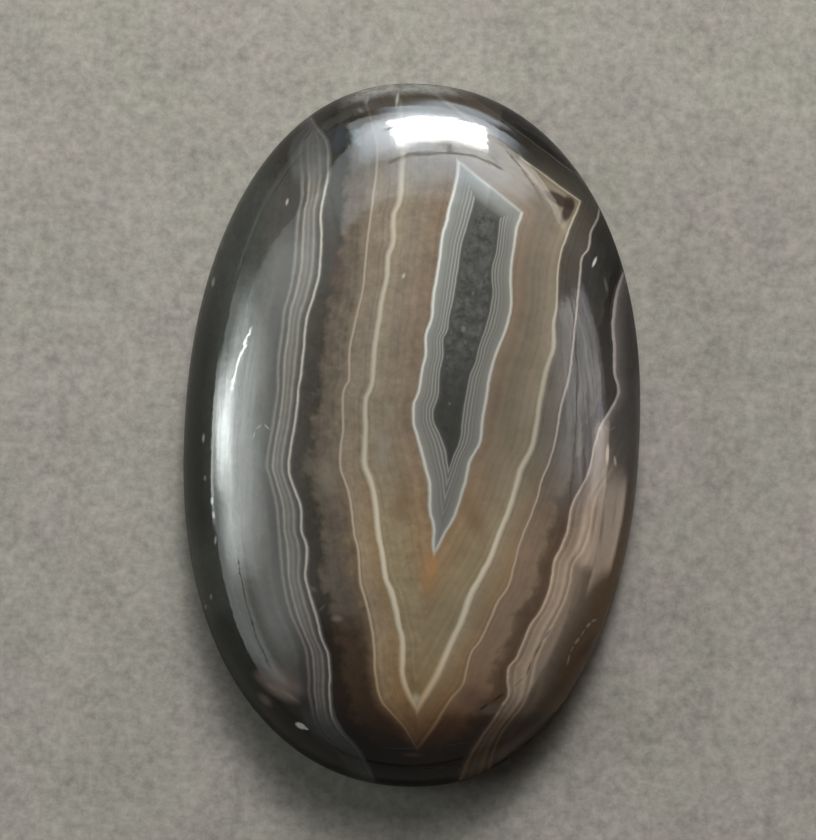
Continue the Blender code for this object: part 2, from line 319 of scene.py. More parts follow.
# Small marks in the stone: (x, y, lean from the length in degrees, half its length, half its width, softness,
# colour, how strong), in mm
MILKY = (0.5, 0.45, 0.38)
MARKS = [
    # the orange plume and the amber clouds round the tip of line one
    (1.35, -7.9, 8, 1.9, 0.75, 1.0, (0.52, 0.26, 0.1), 0.55),
    (1.5, -7.3, 0, 0.9, 0.3, 1.0, (0.62, 0.28, 0.11), 0.6),
    (3.85, -4.75, -24, 2.1, 0.95, 1.0, (0.235, 0.15, 0.08), 0.7),
    (-0.45, -3.85, 8, 2.4, 0.95, 1.0, (0.24, 0.158, 0.088), 0.7),
    # the pale broken line in the dark lower right edge, with rust beside it
    (10.75, -12.3, 34, 1.9, 0.5, 1.0, (0.085, 0.025, 0.012), 0.8),
    (11.18, -10.54, 65, 0.24, 0.11, 0.8, MILKY, 0.8),
    (10.85, -10.8, 39, 0.28, 0.12, 0.8, MILKY, 0.85),
    (10.53, -11.25, 32, 0.36, 0.07, 0.8, MILKY, 0.6),
    (10.19, -11.75, 36, 0.34, 0.12, 0.8, MILKY, 0.8),
    (9.91, -12.23, 24, 0.3, 0.07, 0.8, MILKY, 0.55),
    (9.73, -12.87, 10, 0.45, 0.09, 0.8, MILKY, 0.7),
    # dark hairlines beside line five on the right
    (8.38, -11.33, 35, 0.55, 0.07, 0.8, CHESTNUT, 0.8),
    (7.83, -12.29, 26, 0.75, 0.11, 0.8, CHESTNUT, 0.9),
    (7.38, -13.37, 18, 0.6, 0.09, 0.8, CHESTNUT, 0.85),
    (6.82, -14.22, 47, 0.6, 0.06, 0.8, CHESTNUT, 0.6),
    # patches between lines three and four at the lower right
    (4.1, -15.26, -38, 1.3, 1.0, 0.8, (0.2, 0.115, 0.085), 0.6),
    (5.33, -15.87, 75, 0.85, 0.42, 0.6, (0.24, 0.165, 0.135), 0.7),
    (4.82, -15.76, 54, 0.5, 0.11, 0.8, BITTER, 0.85),
    (5.62, -15.17, 53, 0.65, 0.1, 0.8, BITTER, 0.85),
    # the brown end of the nest, and the faint line under it
    (0.74, -18.82, 90, 0.95, 0.22, 0.9, (0.125, 0.072, 0.05), 0.75),
    (0.2, -18.42, 88, 1.9, 0.06, 0.9, (0.09, 0.078, 0.072), 0.55),
    (3.4, -18.05, 80, 1.5, 0.06, 0.9, (0.09, 0.078, 0.072), 0.55),
    # the dark corner of line two
    (8.1, 14.2, -63, 1.2, 0.44, 0.5, PLUM, 0.9),
    (8.68, 13.6, 22, 1.0, 0.4, 0.5, PLUM, 0.9),
    (8.75, 14.05, -20, 0.6, 0.42, 0.6, PLUM, 0.9),
    # dark streaks in the lower right edge
    (10.87, -4.48, 7, 1.95, 0.18, 0.9, (0.06, 0.034, 0.018), 0.7),
    (12.11, -4.1, 5, 1.65, 0.14, 0.9, STREAK_BROWN, 0.8),
    (11.38, -5.02, 3, 1.9, 0.17, 0.9, STREAK_BROWN, 0.8),
    # the bright tip of line two: pale stone, brightened further by painted light that comes through the stone
    (0.8, -15.4, 2, 0.55, 0.42, 1.0, (0.86, 0.74, 0.54), 0.9),
    # the teal facets at the upper end
    (-4.89, 17.22, 14, 1.1, 0.55, 0.6, (0.033, 0.04, 0.048), 0.8),
    (-4.02, 17.54, 8, 0.8, 0.26, 0.7, (0.05, 0.08, 0.086), 0.8),
    # lines that run over the top edge
    (-1.62, 19.85, 6, 0.7, 0.13, 0.9, (0.34, 0.34, 0.33), 0.75),
    (-3.38, 19.85, 10, 0.5, 0.14, 0.9, (0.22, 0.22, 0.21), 0.7),
    # marks near the right edge
    (11.0, 1.91, 8, 0.95, 0.36, 0.5, (0.008, 0.007, 0.006), 1.0),
    (11.4, 0.84, -48, 0.26, 0.07, 0.8, (0.22, 0.18, 0.16), 0.8),
    (11.77, 0.85, 54, 0.32, 0.07, 0.8, (0.22, 0.18, 0.16), 0.8),
    (11.53, -0.68, 0, 0.8, 0.15, 0.7, (0.66, 0.6, 0.52), 0.9),
    (12.01, -1.05, -12, 0.42, 0.11, 0.7, (0.55, 0.5, 0.43), 0.8),
    (11.1, 9.27, -13, 0.7, 0.14, 0.9, (0.16, 0.15, 0.15), 0.7),
    (10.36, 10.62, 22, 0.44, 0.12, 0.7, (0.75, 0.75, 0.74), 0.9),
    # specks in the core
    (3.23, 8.41, 0, 0.22, 0.15, 1.0, (0.17, 0.17, 0.155), 0.8),
    (2.75, 6.3, 5, 0.3, 0.2, 1.0, (0.21, 0.21, 0.19), 0.9),
    (2.89, 5.54, -12, 0.24, 0.16, 1.0, (0.15, 0.15, 0.135), 0.8),
    (2.1, 1.94, 16, 0.14, 0.14, 1.0, (0.15, 0.145, 0.13), 0.9),
    (1.88, 4.63, 12, 0.16, 0.12, 1.0, (0.14, 0.14, 0.125), 0.8),
    # pale clouds inside line two on the left
    (-1.7, -0.85, 4, 1.55, 0.55, 1.0, (0.33, 0.3, 0.235), 0.7),
    (-1.35, 1.35, -14, 1.0, 0.45, 1.0, (0.32, 0.285, 0.22), 0.6),
    # specks and clouds between lines four and three on the left
    (-0.84, 9.25, 24, 0.24, 0.13, 0.9, (0.62, 0.55, 0.45), 0.8),
    (-3.96, -10.81, 91, 0.5, 0.3, 0.9, (0.26, 0.2, 0.18), 0.85),
    (-4.86, -10.23, 43, 0.42, 0.13, 1.0, (0.15, 0.13, 0.12), 0.7),
    (-5.4, -9.15, -56, 0.36, 0.22, 1.0, (0.16, 0.15, 0.14), 0.7),
    (-4.94, 6.74, 21, 0.3, 0.22, 1.0, (0.19, 0.15, 0.125), 0.7),
    (-4.58, 5.79, 43, 0.35, 0.26, 1.0, (0.2, 0.16, 0.13), 0.7),
    (-5.05, 4.55, -47, 0.26, 0.22, 1.0, (0.17, 0.14, 0.12), 0.7),
    (-5.33, -1.09, 2, 1.3, 0.22, 1.0, (0.15, 0.12, 0.1), 0.8),
    (-4.6, 9.3, 0, 2.0, 0.75, 1.0, (0.135, 0.092, 0.075), 0.6),
    # the comma and the specks outside line four on the left
    (-9.22, -0.32, 9, 0.34, 0.06, 0.8, (0.3, 0.29, 0.25), 0.8),
    (-8.97, 0.16, 48, 0.32, 0.06, 0.8, (0.3, 0.29, 0.25), 0.8),
    (-8.47, 0.18, -48, 0.3, 0.07, 0.8, (0.34, 0.32, 0.28), 0.9),
    (-7.85, 13.43, 11, 0.3, 0.12, 0.8, (0.42, 0.4, 0.36), 0.9),
    # a pale chip at the lower left, its glint painted in as colour
    (-5.92, -17.38, -66, 0.42, 0.22, 0.5, (0.92, 0.89, 0.85), 1.0),
    (-5.6, -17.52, -66, 0.22, 0.1, 0.7, (0.92, 0.89, 0.85), 1.0),
    # the pinkish cloud at the lower left and its pale edge
    (-7.1, -14.7, -60, 2.1, 1.15, 1.0, (0.24, 0.175, 0.15), 0.8),
    (-7.3, -15.35, -62, 1.7, 0.55, 0.9, (0.33, 0.24, 0.2), 0.8),
    (-8.1, -15.95, -50, 0.8, 0.4, 0.9, (0.21, 0.15, 0.135), 0.75),
    (-8.3, -14.6, -64, 0.85, 0.5, 1.0, (0.27, 0.2, 0.175), 0.7),
    (-6.2, -15.1, -50, 0.7, 0.45, 1.0, (0.25, 0.185, 0.165), 0.6),
    (-7.74, -15.12, -66, 0.6, 0.2, 1.0, (0.36, 0.28, 0.24), 0.6),
    (-6.55, -15.62, -58, 0.85, 0.2, 1.0, (0.36, 0.28, 0.25), 0.65),
    # pale blotches and chips along the left edge
    (-12.28, -0.62, 3, 0.36, 0.12, 0.7, (0.3, 0.33, 0.31), 0.8),
    (-12.09, -2.97, -2, 0.24, 0.12, 0.7, (0.22, 0.25, 0.23), 0.7),
    (-11.61, -4.3, -2, 0.32, 0.12, 0.7, (0.8, 0.82, 0.8), 0.9),
    (-11.49, -5.12, -8, 0.3, 0.12, 0.7, (0.7, 0.74, 0.72), 0.9),
    (-11.32, -6.59, 3, 0.36, 0.1, 0.7, (0.45, 0.47, 0.45), 0.8),
    (-11.52, -10.0, 0, 0.26, 0.12, 0.8, (0.26, 0.26, 0.24), 0.8),
    (-11.87, -10.66, 8, 0.28, 0.12, 0.8, (0.26, 0.26, 0.24), 0.7),
    (-12.13, 8.64, 6, 0.42, 0.16, 0.8, (0.24, 0.23, 0.21), 0.8),
    (-11.77, 10.96, -3, 0.45, 0.18, 0.9, (0.14, 0.13, 0.11), 0.7),
    # faint spots near the top edge
    (-3.54, 19.89, 5, 0.46, 0.2, 0.9, (0.15, 0.15, 0.14), 0.7),
    (-3.76, 19.07, -54, 0.32, 0.2, 0.9, (0.13, 0.13, 0.12), 0.7),
    # wide pale clouds, beside line three on the left and line one on the right
    (-4.75, -2.7, -3, 2.0, 1.05, 0.95, (0.36, 0.31, 0.24), 0.34),
    (5.1, -0.75, 5, 3.2, 0.85, 0.95, (0.34, 0.27, 0.19), 0.34),
]


def power(value, exponent):
    """The power of the size of a number, with its sign kept."""
    return copysign(abs(value) ** exponent, value)


def oval(angle):
    """The stone's outline seen from above, at this angle round it."""
    ease = 2.0 / OVAL_FULLNESS
    grow = 1.0 + SHOULDER_SKEW * sin(4.0 * angle)
    x = 0.5 * WIDTH * power(cos(angle), ease) * grow
    y = 0.5 * LENGTH * power(sin(angle), ease) * grow
    return x, y


def section():
    """(reach, inset, height) from the middle of the back, round the girdle and up to the top of the dome."""
    rings = [(0.0, 0.0, 0.0)]
    rings += [(reach, 0.0, 0.0) for reach in FLAT_RINGS]
    rings += [(1.0, inset * BEVEL_INSET, rise * BEVEL_HEIGHT) for inset, rise in BEVEL]
    dome = HEIGHT - GIRDLE_TOP
    for step in range(DOME_RINGS + 1):
        turn = 0.5 * pi * step / DOME_RINGS
        reach = 0.0 if step == DOME_RINGS else cos(turn)
        rings.append((reach, 0.0, GIRDLE_TOP + dome * sin(turn)))
    return rings


def stone_mesh(name):
    """The half section, spun round Z and drawn out from the circle to the oval."""
    rings = section()
    shape = bmesh.new()
    ring_of = shape.verts.layers.int.new("ring")
    row = []
    for index, (reach, inset, height) in enumerate(rings):
        row.append(shape.verts.new((reach * 0.5 * LENGTH - inset, 0.0, height)))
        row[-1][ring_of] = index
    edges = [shape.edges.new(pair) for pair in zip(row, row[1:])]
    bmesh.ops.spin(
        shape, geom=row + edges, cent=(0, 0, 0), axis=(0, 0, 1), angle=2.0 * pi,
        steps=SIDES, use_merge=True,
    )
    bmesh.ops.remove_doubles(shape, verts=shape.verts, dist=WELD)
    for vert in shape.verts:
        reach, inset, height = rings[vert[ring_of]]
        if reach > 0.0:
            x, y = oval(atan2(vert.co.y, vert.co.x))
            share = reach * (1.0 - inset / hypot(x, y))
            vert.co = (x * share, y * share, height)
    bmesh.ops.recalc_face_normals(shape, faces=shape.faces)
    mesh = made_mesh(name, shape)
    mesh.shade_smooth()
    return mesh


def made_mesh(name, shape):
    """The bmesh as a mesh."""
    mesh = bpy.data.meshes.new(name)
    shape.to_mesh(mesh)
    shape.free()
    return mesh


def placed(name, data):
    """A new object with this mesh, lamp or lens, in the scene."""
    thing = bpy.data.objects.new(name, data)
    bpy.context.scene.collection.objects.link(thing)
    return thing


class Nodes:
    """Adds shader nodes to one tree, and joins each to what feeds it."""

    def __init__(self, tree):
        self.tree = tree

    def feed(self, socket, value):
        if isinstance(value, bpy.types.NodeSocket):
            self.tree.links.new(value, socket)
        elif isinstance(value, tuple) and len(value) == 3 and socket.type == "RGBA":
            socket.default_value = (*value, 1.0)
        else:
            socket.default_value = value

    def add(self, kind, feeds=None, **settings):
        node = self.tree.nodes.new(kind)
        for setting, value in settings.items():
            setattr(node, setting, value)
        for socket, value in (feeds or {}).items():
            self.feed(node.inputs[socket], value)
        return node

    def math(self, operation, *values, clamp=False):
        return self.add("ShaderNodeMath", dict(enumerate(values)), operation=operation, use_clamp=clamp).outputs[0]

    def vector(self, operation, *values):
        return self.add("ShaderNodeVectorMath", dict(enumerate(values)), operation=operation)

    def times(self, first, second):
        return self.math("MULTIPLY", first, second)

    def plus(self, first, second):
        return self.math("ADD", first, second)

    def between(self, value, start, end, low=0.0, high=1.0, smooth=False):
        """Turns start..end into low..high, and holds still outside."""
        feeds = dict(enumerate((value, start, end, low, high)))
        kind = "SMOOTHSTEP" if smooth else "LINEAR"
        return self.add("ShaderNodeMapRange", feeds, interpolation_type=kind).outputs[0]

    def mix(self, share, first, second, blend="MIX"):
        feeds = {0: share, 6: first, 7: second}
        return self.add("ShaderNodeMix", feeds, data_type="RGBA", blend_type=blend).outputs[2]

    def tinted(self, colour, tint):
        """One colour times another."""
        return self.mix(1.0, colour, tint, "MULTIPLY")

    def noise(self, place, scale, detail=2.0, roughness=0.5, distortion=0.0, output="Fac"):
        feeds = {"Vector": place, "Scale": scale, "Detail": detail}
        feeds.update({"Roughness": roughness, "Distortion": distortion})
        return self.add("ShaderNodeTexNoise", feeds).outputs[output]

    def place(self, x, y, z=0.0):
        return self.add("ShaderNodeCombineXYZ", {0: x, 1: y, 2: z}).outputs[0]

    def ramp(self, value, stops):
        """A colour ramp from (place, colour) pairs."""
        node = self.add("ShaderNodeValToRGB", {0: value})
        elements = node.color_ramp.elements
        elements[0].position, elements[1].position = stops[0][0], stops[-1][0]
        elements[0].color, elements[1].color = (*stops[0][1], 1.0), (*stops[-1][1], 1.0)
        for position, colour in stops[1:-1]:
            elements.new(position).color = (*colour, 1.0)
        return node.outputs[0]

    def profile(self, value, points):
        """The height of a line drawn through these (place, height) points, at this value."""
        low, high = points[0][0], points[-1][0]
        shares = [((place - low) / (high - low), height) for place, height in points]
        return self.curve(self.between(value, low, high), shares)

    def varied(self, noise, low, high):
        """Turns the middle part of a noise, where it mostly lies, into low..high."""
        return self.between(noise, 0.3, 0.7, low, high)

    def grey(self, value):
        """The same value in red, green and blue."""
        return self.add("ShaderNodeCombineColor", {0: value, 1: value, 2: value}).outputs[0]

    def cover(self, shader):
        """Makes this shader the material's surface."""
        output = self.add("ShaderNodeOutputMaterial")
        self.feed(output.inputs["Surface"], shader.outputs[0])

    def curve(self, value, points):
        """A curve through these points, with both ways in shares of 0 to 1."""
        node = self.add("ShaderNodeFloatCurve", {"Value": value})
        node.mapping.use_clip = False
        line = node.mapping.curves[0]
        ordered = sorted(points)
        line.points[0].location = ordered[0]
        line.points[1].location = ordered[-1]
        for point in ordered[1:-1]:
            line.points.new(*point)
        for point in line.points:
            point.handle_type = "AUTO_CLAMPED"
        node.mapping.update()
        return node.outputs[0]


def blank_material(name):
    """A new material without nodes, and what adds them."""
    material = bpy.data.materials.new(name)
    material.use_nodes = True
    material.node_tree.nodes.clear()
    return material, Nodes(material.node_tree)


def along(line, offset):
    """The place in the nest this many mm inside (+) or outside (-) a line."""
    number = LINE_AT[line]
    width = ZONE_WIDTHS[number] if offset > 0.0 else ZONE_WIDTHS[number - 1]
    return number + offset / width


def carried_on(points, end):
    """The line with both its ends carried straight on to this far from the middle of the stone."""
    low, high = points[0], points[-1]
    line = list(points)
    if low[0] > -end:
        slope = (points[1][1] - low[1]) / (points[1][0] - low[0])
        line.insert(0, (-end, low[1] - slope * (end + low[0])))
    if high[0] < end:
        slope = (high[1] - points[-2][1]) / (high[0] - points[-2][0])
        line.append((end, high[1] + slope * (end - high[0])))
    return line


def nest(nodes, across, lines, step):
    """How far in a point lies in one family of lines: 1 at line five, up to 6 at the edge of the core."""
    outermost = nodes.math("SUBTRACT", lines[0], ZONE_WIDTHS[0] * step)
    innermost = nodes.plus(lines[-1], ZONE_WIDTHS[-1] * step)
    walls = [outermost, *lines, innermost]
    depth = 0.0
    for outer, inner in zip(walls, walls[1:]):
        depth = nodes.plus(depth, nodes.between(across, outer, inner))
    return depth


def band_group():
    """A soft-edged band: it rises from Start to Full, holds until Hold and is gone at End."""
    tree = bpy.data.node_groups.new("soft band", "ShaderNodeTree")
    for name in ("Across", "Start", "Full", "Hold", "End"):
        tree.interface.new_socket(name, in_out="INPUT", socket_type="NodeSocketFloat")
    tree.interface.new_socket("Mask", in_out="OUTPUT", socket_type="NodeSocketFloat")
    nodes = Nodes(tree)
    given = nodes.add("NodeGroupInput").outputs
    rise = nodes.between(given["Across"], given["Start"], given["Full"], smooth=True)
    fall = nodes.between(given["Across"], given["Hold"], given["End"], 1.0, 0.0, smooth=True)
    made = nodes.add("NodeGroupOutput")
    nodes.feed(made.inputs["Mask"], nodes.times(rise, fall))
    return tree


def spot_group():
    """A soft oval spot, right through the stone: 1 inside it, fading to 0 over the outer share, Softness.

    Long Way and Wide Way point along the spot and across it, each over the spot's half size that way.
    """
    tree = bpy.data.node_groups.new("soft spot", "ShaderNodeTree")
    for name in ("Place", "Centre", "Long Way", "Wide Way"):
        tree.interface.new_socket(name, in_out="INPUT", socket_type="NodeSocketVector")
    tree.interface.new_socket("Softness", in_out="INPUT", socket_type="NodeSocketFloat")
    tree.interface.new_socket("Mask", in_out="OUTPUT", socket_type="NodeSocketFloat")
    nodes = Nodes(tree)
    given = nodes.add("NodeGroupInput").outputs
    off = nodes.vector("SUBTRACT", given["Place"], given["Centre"]).outputs[0]
    ways = (given["Long Way"], given["Wide Way"])
    long, wide = (nodes.vector("DOT_PRODUCT", off, way).outputs["Value"] for way in ways)
    far = nodes.vector("LENGTH", nodes.place(long, wide)).outputs["Value"]
    edge = nodes.math("SUBTRACT", 1.0, given["Softness"])
    made = nodes.add("NodeGroupOutput")
    nodes.feed(made.inputs["Mask"], nodes.between(far, edge, 1.0, 1.0, 0.0, smooth=True))
    return tree


def agate_material():
    material, nodes = blank_material("banded agate")
    mix, tinted, times, plus, between = nodes.mix, nodes.tinted, nodes.times, nodes.plus, nodes.between
    math, noise, grey, profile, varied = nodes.math, nodes.noise, nodes.grey, nodes.profile, nodes.varied
    band_tree = band_group()
    spot_tree = spot_group()

    def band(across, start, full, hold, end):
        feeds = dict(enumerate((across, start, full, hold, end)))
        return nodes.add("ShaderNodeGroup", feeds, node_tree=band_tree).outputs[0]

    def spot(place, x, y, turn, long, wide, softness):
        turned_sin, turned_cos = sin(radians(turn)), cos(radians(turn))
        feeds = {
            "Place": place, "Centre": (x, y, 0.0), "Long Way": (turned_sin / long, turned_cos / long, 0.0),
            "Wide Way": (turned_cos / wide, -turned_sin / wide, 0.0), "Softness": softness,
        }
        return nodes.add("ShaderNodeGroup", feeds, node_tree=spot_tree).outputs[0]

    # Where the point lies, in mm, how far out it is (1 at the girdle) and how far below the dome
    whole = nodes.add("ShaderNodeTexCoord").outputs["Object"]
    point = nodes.add("ShaderNodeVectorMath", {0: whole, "Scale": 1.0 / MM}, operation="SCALE").outputs[0]
    x, y, z = nodes.add("ShaderNodeSeparateXYZ", {0: point}).outputs
    out = [
        math("POWER", math("ABSOLUTE", math("DIVIDE", place, half)), OVAL_FULLNESS)
        for place, half in ((x, 0.5 * WIDTH / MM), (y, 0.5 * LENGTH / MM))
    ]
    reach = math("POWER", plus(*out), 1.0 / OVAL_FULLNESS)
    fall = math("SUBTRACT", 1.0, math("POWER", reach, 2.0), clamp=True)
    dome = math("MULTIPLY_ADD", math("SQRT", fall), (HEIGHT - GIRDLE_TOP) / MM, GIRDLE_TOP / MM)
    under = math("MAXIMUM", math("SUBTRACT", dome, z), 0.0)

    # The walls of the bands lean a little, so lower down in the stone the pattern has moved over
    wave = nodes.add("ShaderNodeSeparateColor", {0: noise(point, 0.9, 3.0, 0.55, output="Color")}).outputs
    across = plus(x, times(under, LEAN_ACROSS))
    across = plus(across, math("MULTIPLY_ADD", wave[0], WANDER, -0.5 * WANDER))
    length = plus(y, times(under, LEAN_ALONG))
    length = plus(length, math("MULTIPLY_ADD", wave[1], WANDER, -0.5 * WANDER))

    share_x = between(across, -CURVE_X, CURVE_X)
    share_y = between(length, -CURVE_Y, CURVE_Y)

    def side_line(points):
        line_on = carried_on(points, LINES_END)
        shares = [(0.5 + 0.5 * long / CURVE_Y, 0.5 + 0.5 * wide / CURVE_X) for long, wide in line_on]
        return nodes.curve(share_y, shares)

    def upper_line(points):
        shares = [(0.5 + 0.5 * wide / CURVE_X, 0.5 + 0.5 * long / CURVE_Y) for wide, long in points]
        return nodes.curve(share_x, shares)

    left, right = (
        nest(nodes, share_x, [side_line(lines[name]) for name in LINE_AT], step)
        for lines, step in ((LEFT_LINES, 0.5 / CURVE_X), (RIGHT_LINES, -0.5 / CURVE_X))
    )
    upper = nest(nodes, share_y, [upper_line(UPPER_LINES[name]) for name in LINE_AT], -0.5 / CURVE_Y)
    sides = math("MINIMUM", left, right)
    depth = math("MINIMUM", sides, upper)
    on_right = between(math("SUBTRACT", left, right), -0.05, 0.05)
    on_upper = between(math("SUBTRACT", sides, upper), -0.02, 0.02)
    low_down = between(y, 1.5, -8.0, smooth=True)

    # The inner edge of the dark band is broken up
    ragged = noise(point, 0.85, 4.0, 0.55)
    broken = band(depth, 2.1, 2.35, 2.8, 2.98)
    shift = times(math("MULTIPLY_ADD", ragged, 0.8, -0.4), broken)
    share = math("DIVIDE", plus(depth, shift), INNERMOST)

    def zone_ramp(tones):
        stops = [
            (along(line, offset) / INNERMOST, colour)
            for line, places in (*tones.items(), *IN_CORE.items())
            for offset, colour in places
        ]
        return nodes.ramp(share, stops)

    left_tone = mix(low_down, zone_ramp(LEFT_UPPER), zone_ramp(LEFT_LOWER))
    right_tone = mix(low_down, zone_ramp(RIGHT_UPPER), zone_ramp(RIGHT_LOWER))
    tone = mix(on_right, left_tone, right_tone)

    # Clouds, mottling and streaks within the zones; the left half is more clouded
    cloud = noise(point, 0.55, 5.0, 0.62)
    mottle = noise(point, 1.7, 5.0, 0.68, 0.4)
    streak_place = math("MULTIPLY_ADD", y, 0.12, times(depth, 9.0))
    streak_feeds = {"W": streak_place, "Scale": 1.0, "Detail": 3.0}
    streak = nodes.add("ShaderNodeTexNoise", streak_feeds, noise_dimensions="1D").outputs["Fac"]
    wisps = math("MULTIPLY_ADD", on_right, -0.11, 0.18)
    gain = varied(cloud, 0.9, 1.1)
    gain = plus(gain, times(varied(mottle, -1.0, 1.0), wisps))
    gain = plus(gain, varied(streak, -0.07, 0.07))
    tone = tinted(tone, grey(gain))

    # The dark bay inside line four at the lower left
    bay = times(band(depth, 2.0, 2.05, 2.75, 3.0), math("SUBTRACT", 1.0, on_right))
    bay = times(bay, between(y, -9.5, -12.0, smooth=True))
    tone = mix(bay, tone, tinted(tone, BAY_SHADE))

    # Between lines four and two the upper right is darker
    shade = between(y, 2.5, 8.5, 1.0, between(depth, 2.9, 3.05, 0.42, 0.52))
    shaded = times(on_right, band(depth, 2.06, 2.1, 3.9, 3.98))
    tone = mix(shaded, tone, tinted(tone, grey(shade)))

    # The pale lines three and two
    third = mix(on_right, THREE_LEFT, THREE_RIGHT)
    third = mix(low_down, third, THREE_LOW)
    second = mix(low_down, TWO_HIGH, TWO_LOW)
    third_places = (along("three", offset) for offset in (-0.145, -0.01, 0.01, 0.105))
    third_mask = band(depth, *third_places)
    third_mask = times(third_mask, between(on_upper, 0.0, 1.0, 0.9, 0.3))
    tone = mix(third_mask, tone, third)
    # Line two is finer in the upper right
    high_right = times(on_right, between(y, 5.5, 9.0))
    second_start = between(high_right, 0.0, 1.0, along("two", -0.29), along("two", -0.1))
    second_end = between(high_right, 0.0, 1.0, along("two", 0.21), along("two", 0.08))
    second_mask = band(depth, second_start, along("two", -0.02), along("two", 0.02), second_end)
    tone = mix(times(second_mask, 0.95), tone, second)

    # The fine banding between lines five and four, and the lines round the core
    tint_left = mix(between(y, -6.0, -12.0, smooth=True), LEFT_TINT_HIGH, LEFT_TINT_LOW)
    fine_left = tinted(grey(profile(depth, FINE_LEFT)), tint_left)
    faint_low = between(y, -15.8, -17.4, 0.0, 0.78, smooth=True)
    faint = plus(faint_low, between(y, 14.2, 15.6, 0.0, 0.66, smooth=True))
    fine_left = mix(faint, fine_left, FAINT_LILAC)
    fine_high = tinted(grey(profile(depth, FINE_RIGHT_UPPER)), RIGHT_TINT_HIGH)
    fine_low = tinted(grey(profile(depth, FINE_RIGHT_LOWER)), RIGHT_TINT_LOW)
    fine_low = mix(between(depth, 0.8, 0.3, smooth=True), fine_low, DEEP_RUST)
    fine = mix(on_right, fine_left, mix(low_down, fine_high, fine_low))
    fine = tinted(fine, grey(varied(mottle, 0.88, 1.12)))
    start = math("MULTIPLY_ADD", on_right, -0.9, 0.8)
    tone = mix(band(depth, start, plus(start, 0.1), 2.05, 2.09), tone, fine)
    core_sides = grey(profile(depth, CORE_SIDES))
    round_core = mix(on_upper, core_sides, grey(profile(depth, CORE_TOP)))
    core_left = mix(between(y, 2.0, 9.0), CORE_TINT_LOW, CORE_TINT_HIGH)
    round_core = tinted(round_core, mix(on_right, core_left, CORE_TINT_RIGHT))
    tone = mix(band(depth, 4.935, 4.99, 6.05, 6.09), tone, round_core)

    # The core is clearer and darker towards its tip
    core = between(depth, 6.0, 6.08)
    lit = times(core, between(y, 1.5, 6.6, smooth=True))
    tone = mix(times(lit, between(mottle, 0.35, 0.65)), tone, LIT_CORE)

    # Brown and dark towards the lower end of the nest: the stone's brown, with painted shade over the end itself and
    # a little painted glow just above it
    end_shade_and_glow = nodes.ramp(between(y, -21.0, -11.0), LOWER_END_SHADE_AND_GLOW)
    tone = mix(between(depth, 2.05, 2.15), tone, tinted(tone, end_shade_and_glow))
    # Outside line three at the lower right end: painted shade
    end_shade = times(on_right, between(depth, 2.97, 2.92))
    end_shade = times(end_shade, between(y, -15.6, -16.8, smooth=True))
    tone = mix(end_shade, tone, tinted(tone, LOWER_END_SHADE))

    # The outer parts of the upper end are dark
    top_dark = between(y, 13.5, 18.0, 1.0, between(x, -5.9, -5.2, 0.58, 0.28), smooth=True)
    tone = tinted(tone, grey(top_dark))

    # Towards the rim the colour is darkened: painted shade of the steep sides, where the light is also lost in the
    # dark stone
    low_rim = times(band(y, -11.8, -10.3, -8.2, -4.8), 0.36)
    at_ends = plus(between(y, 4.0, 9.0, 0.34, 0.62), low_rim)
    rim_shade_left = between(reach, 0.8, 0.93, 1.0, at_ends, smooth=True)
    right_end = between(low_down, 0.0, 1.0, 0.62, 0.85)
    rim_shade_right = between(reach, 0.86, 0.985, 1.0, right_end, smooth=True)
    rim_shade = mix(between(x, -3.0, 3.0), grey(rim_shade_left), grey(rim_shade_right))
    tone = tinted(tone, rim_shade)

    # The edge of the top is pale: a painted reflection of the lit floor in the steep top rim
    pale_top_reflection = times(between(reach, 0.955, 0.985, smooth=True), band(x, -5.5, -3.0, 0.5, 3.2))
    pale_top_reflection = times(pale_top_reflection, between(y, 10.0, 12.0))
    pale_top_reflection = times(pale_top_reflection, between(mottle, 0.35, 0.6, 0.4, 1.0))
    tone = mix(pale_top_reflection, tone, PALE_EDGE_REFLECTION)

    for mark_x, mark_y, turn, long, wide, softness, colour, strength in MARKS:
        mask = times(spot(point, mark_x, mark_y, turn, long, wide, softness), strength)
        tone = mix(mask, tone, colour)

    # The polish is not quite even
    slow_waves = noise(point, 0.75, 3.0, 0.5)
    waves = plus(slow_waves, times(noise(point, 4.0, 2.0, 0.5), 0.06))
    bump = nodes.add("ShaderNodeBump", {"Strength": 1.0, "Distance": POLISH_WAVE, "Height": waves})

    look = {"Base Color": tone, "Normal": bump.outputs[0], "Roughness": POLISH_ROUGHNESS, "IOR": AGATE_IOR}
    surface = nodes.add("ShaderNodeBsdfPrincipled", look)
    nodes.cover(surface)
    return material


def picture_direction(azimuth, elevation):
    """Which way this is from the stone: azimuth clockwise from the top of the picture, in degrees.

    The top of the picture is turned anticlockwise from the stone's length, seen from above.
    """
    heading = radians(azimuth) - PICTURE_TURN
    level = cos(radians(elevation))
    return Vector((sin(heading) * level, cos(heading) * level, sin(radians(elevation))))


